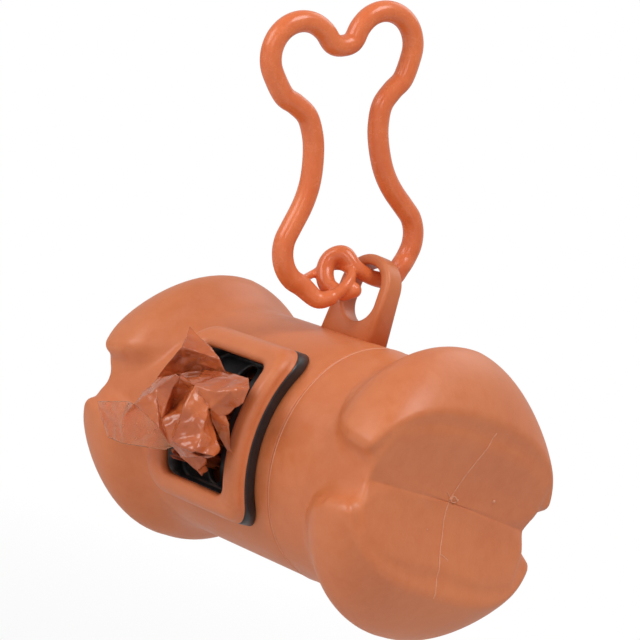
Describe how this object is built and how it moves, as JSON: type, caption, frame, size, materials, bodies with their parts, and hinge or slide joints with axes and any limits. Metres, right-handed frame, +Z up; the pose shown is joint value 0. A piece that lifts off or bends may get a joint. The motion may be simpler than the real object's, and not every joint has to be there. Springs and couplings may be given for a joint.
{
  "type": "dog waste bag dispenser",
  "caption": "Bone-shaped plastic dispenser for rolled dog waste bags, with a pull-off end, a slotted window with a bag pulled through it, and a bone-shaped ring clip.",
  "frame": {"origin": "the hanging point: on the ring's middle line, at the underside of the dip between its top lobes, where a leash or hook carries it", "axes": "+X along the bone from the closed end to the pull-off end, -Y out of the window, +Z up from the tube through the lug"},
  "size_m": [0.0765, 0.0618, 0.103],
  "materials": {
    "body_plastic": "satin terracotta moulding with a fine grain",
    "black_plastic": "satin black moulding",
    "ring_plastic": "glossy springy terracotta plastic",
    "core_paper": "plain grey-brown wound paper",
    "bag_film": "thin glossy terracotta film"
  },
  "bodies": {
    "ring": {"ring_clip": "ring_plastic"},
    "housing": {"body_shell": "body_plastic", "slot_plate": "black_plastic", "window_frame": "body_plastic"},
    "cap": {"end_cap": "body_plastic"},
    "roll": {"roll_core": "core_paper", "bag_02": "bag_film", "bag_03": "bag_film", "bag_04": "bag_film", "bag_05": "bag_film", "bag_06": "bag_film", "bag_07": "bag_film", "bag_08": "bag_film", "bag_09": "bag_film", "bag_10": "bag_film", "bag_11": "bag_film", "bag_12": "bag_film", "bag_13": "bag_film", "bag_14": "bag_film", "bag_15": "bag_film"},
    "pulled_bag": {"first_bag": "bag_film"}
  },
  "joints": [
    {"name": "housing_swing", "type": "hinge", "parent": "ring", "child": "housing", "pos_m": [0.00254, 0.02166, -0.03362], "axis": [0, 1, 0], "range_deg": [-70, 70]},
    {"name": "cap_pull", "type": "slide", "parent": "housing", "child": "cap", "axis": [1, 0, 0], "range_m": [0, 0.04]},
    {"name": "bag_pull", "type": "slide", "parent": "housing", "child": "pulled_bag", "axis": [0, -1, 0], "range_m": [0, 0.024]},
    {"name": "roll_spin", "type": "hinge", "parent": "housing", "child": "roll", "pos_m": [0.00184, 0.02166, -0.06669], "axis": [1, 0, 0], "range_deg": [0, 90]}
  ],
  "couplings": [
    {"joint": "roll_spin", "follows": "bag_pull", "rad_per_m": 62.5}
  ]
}
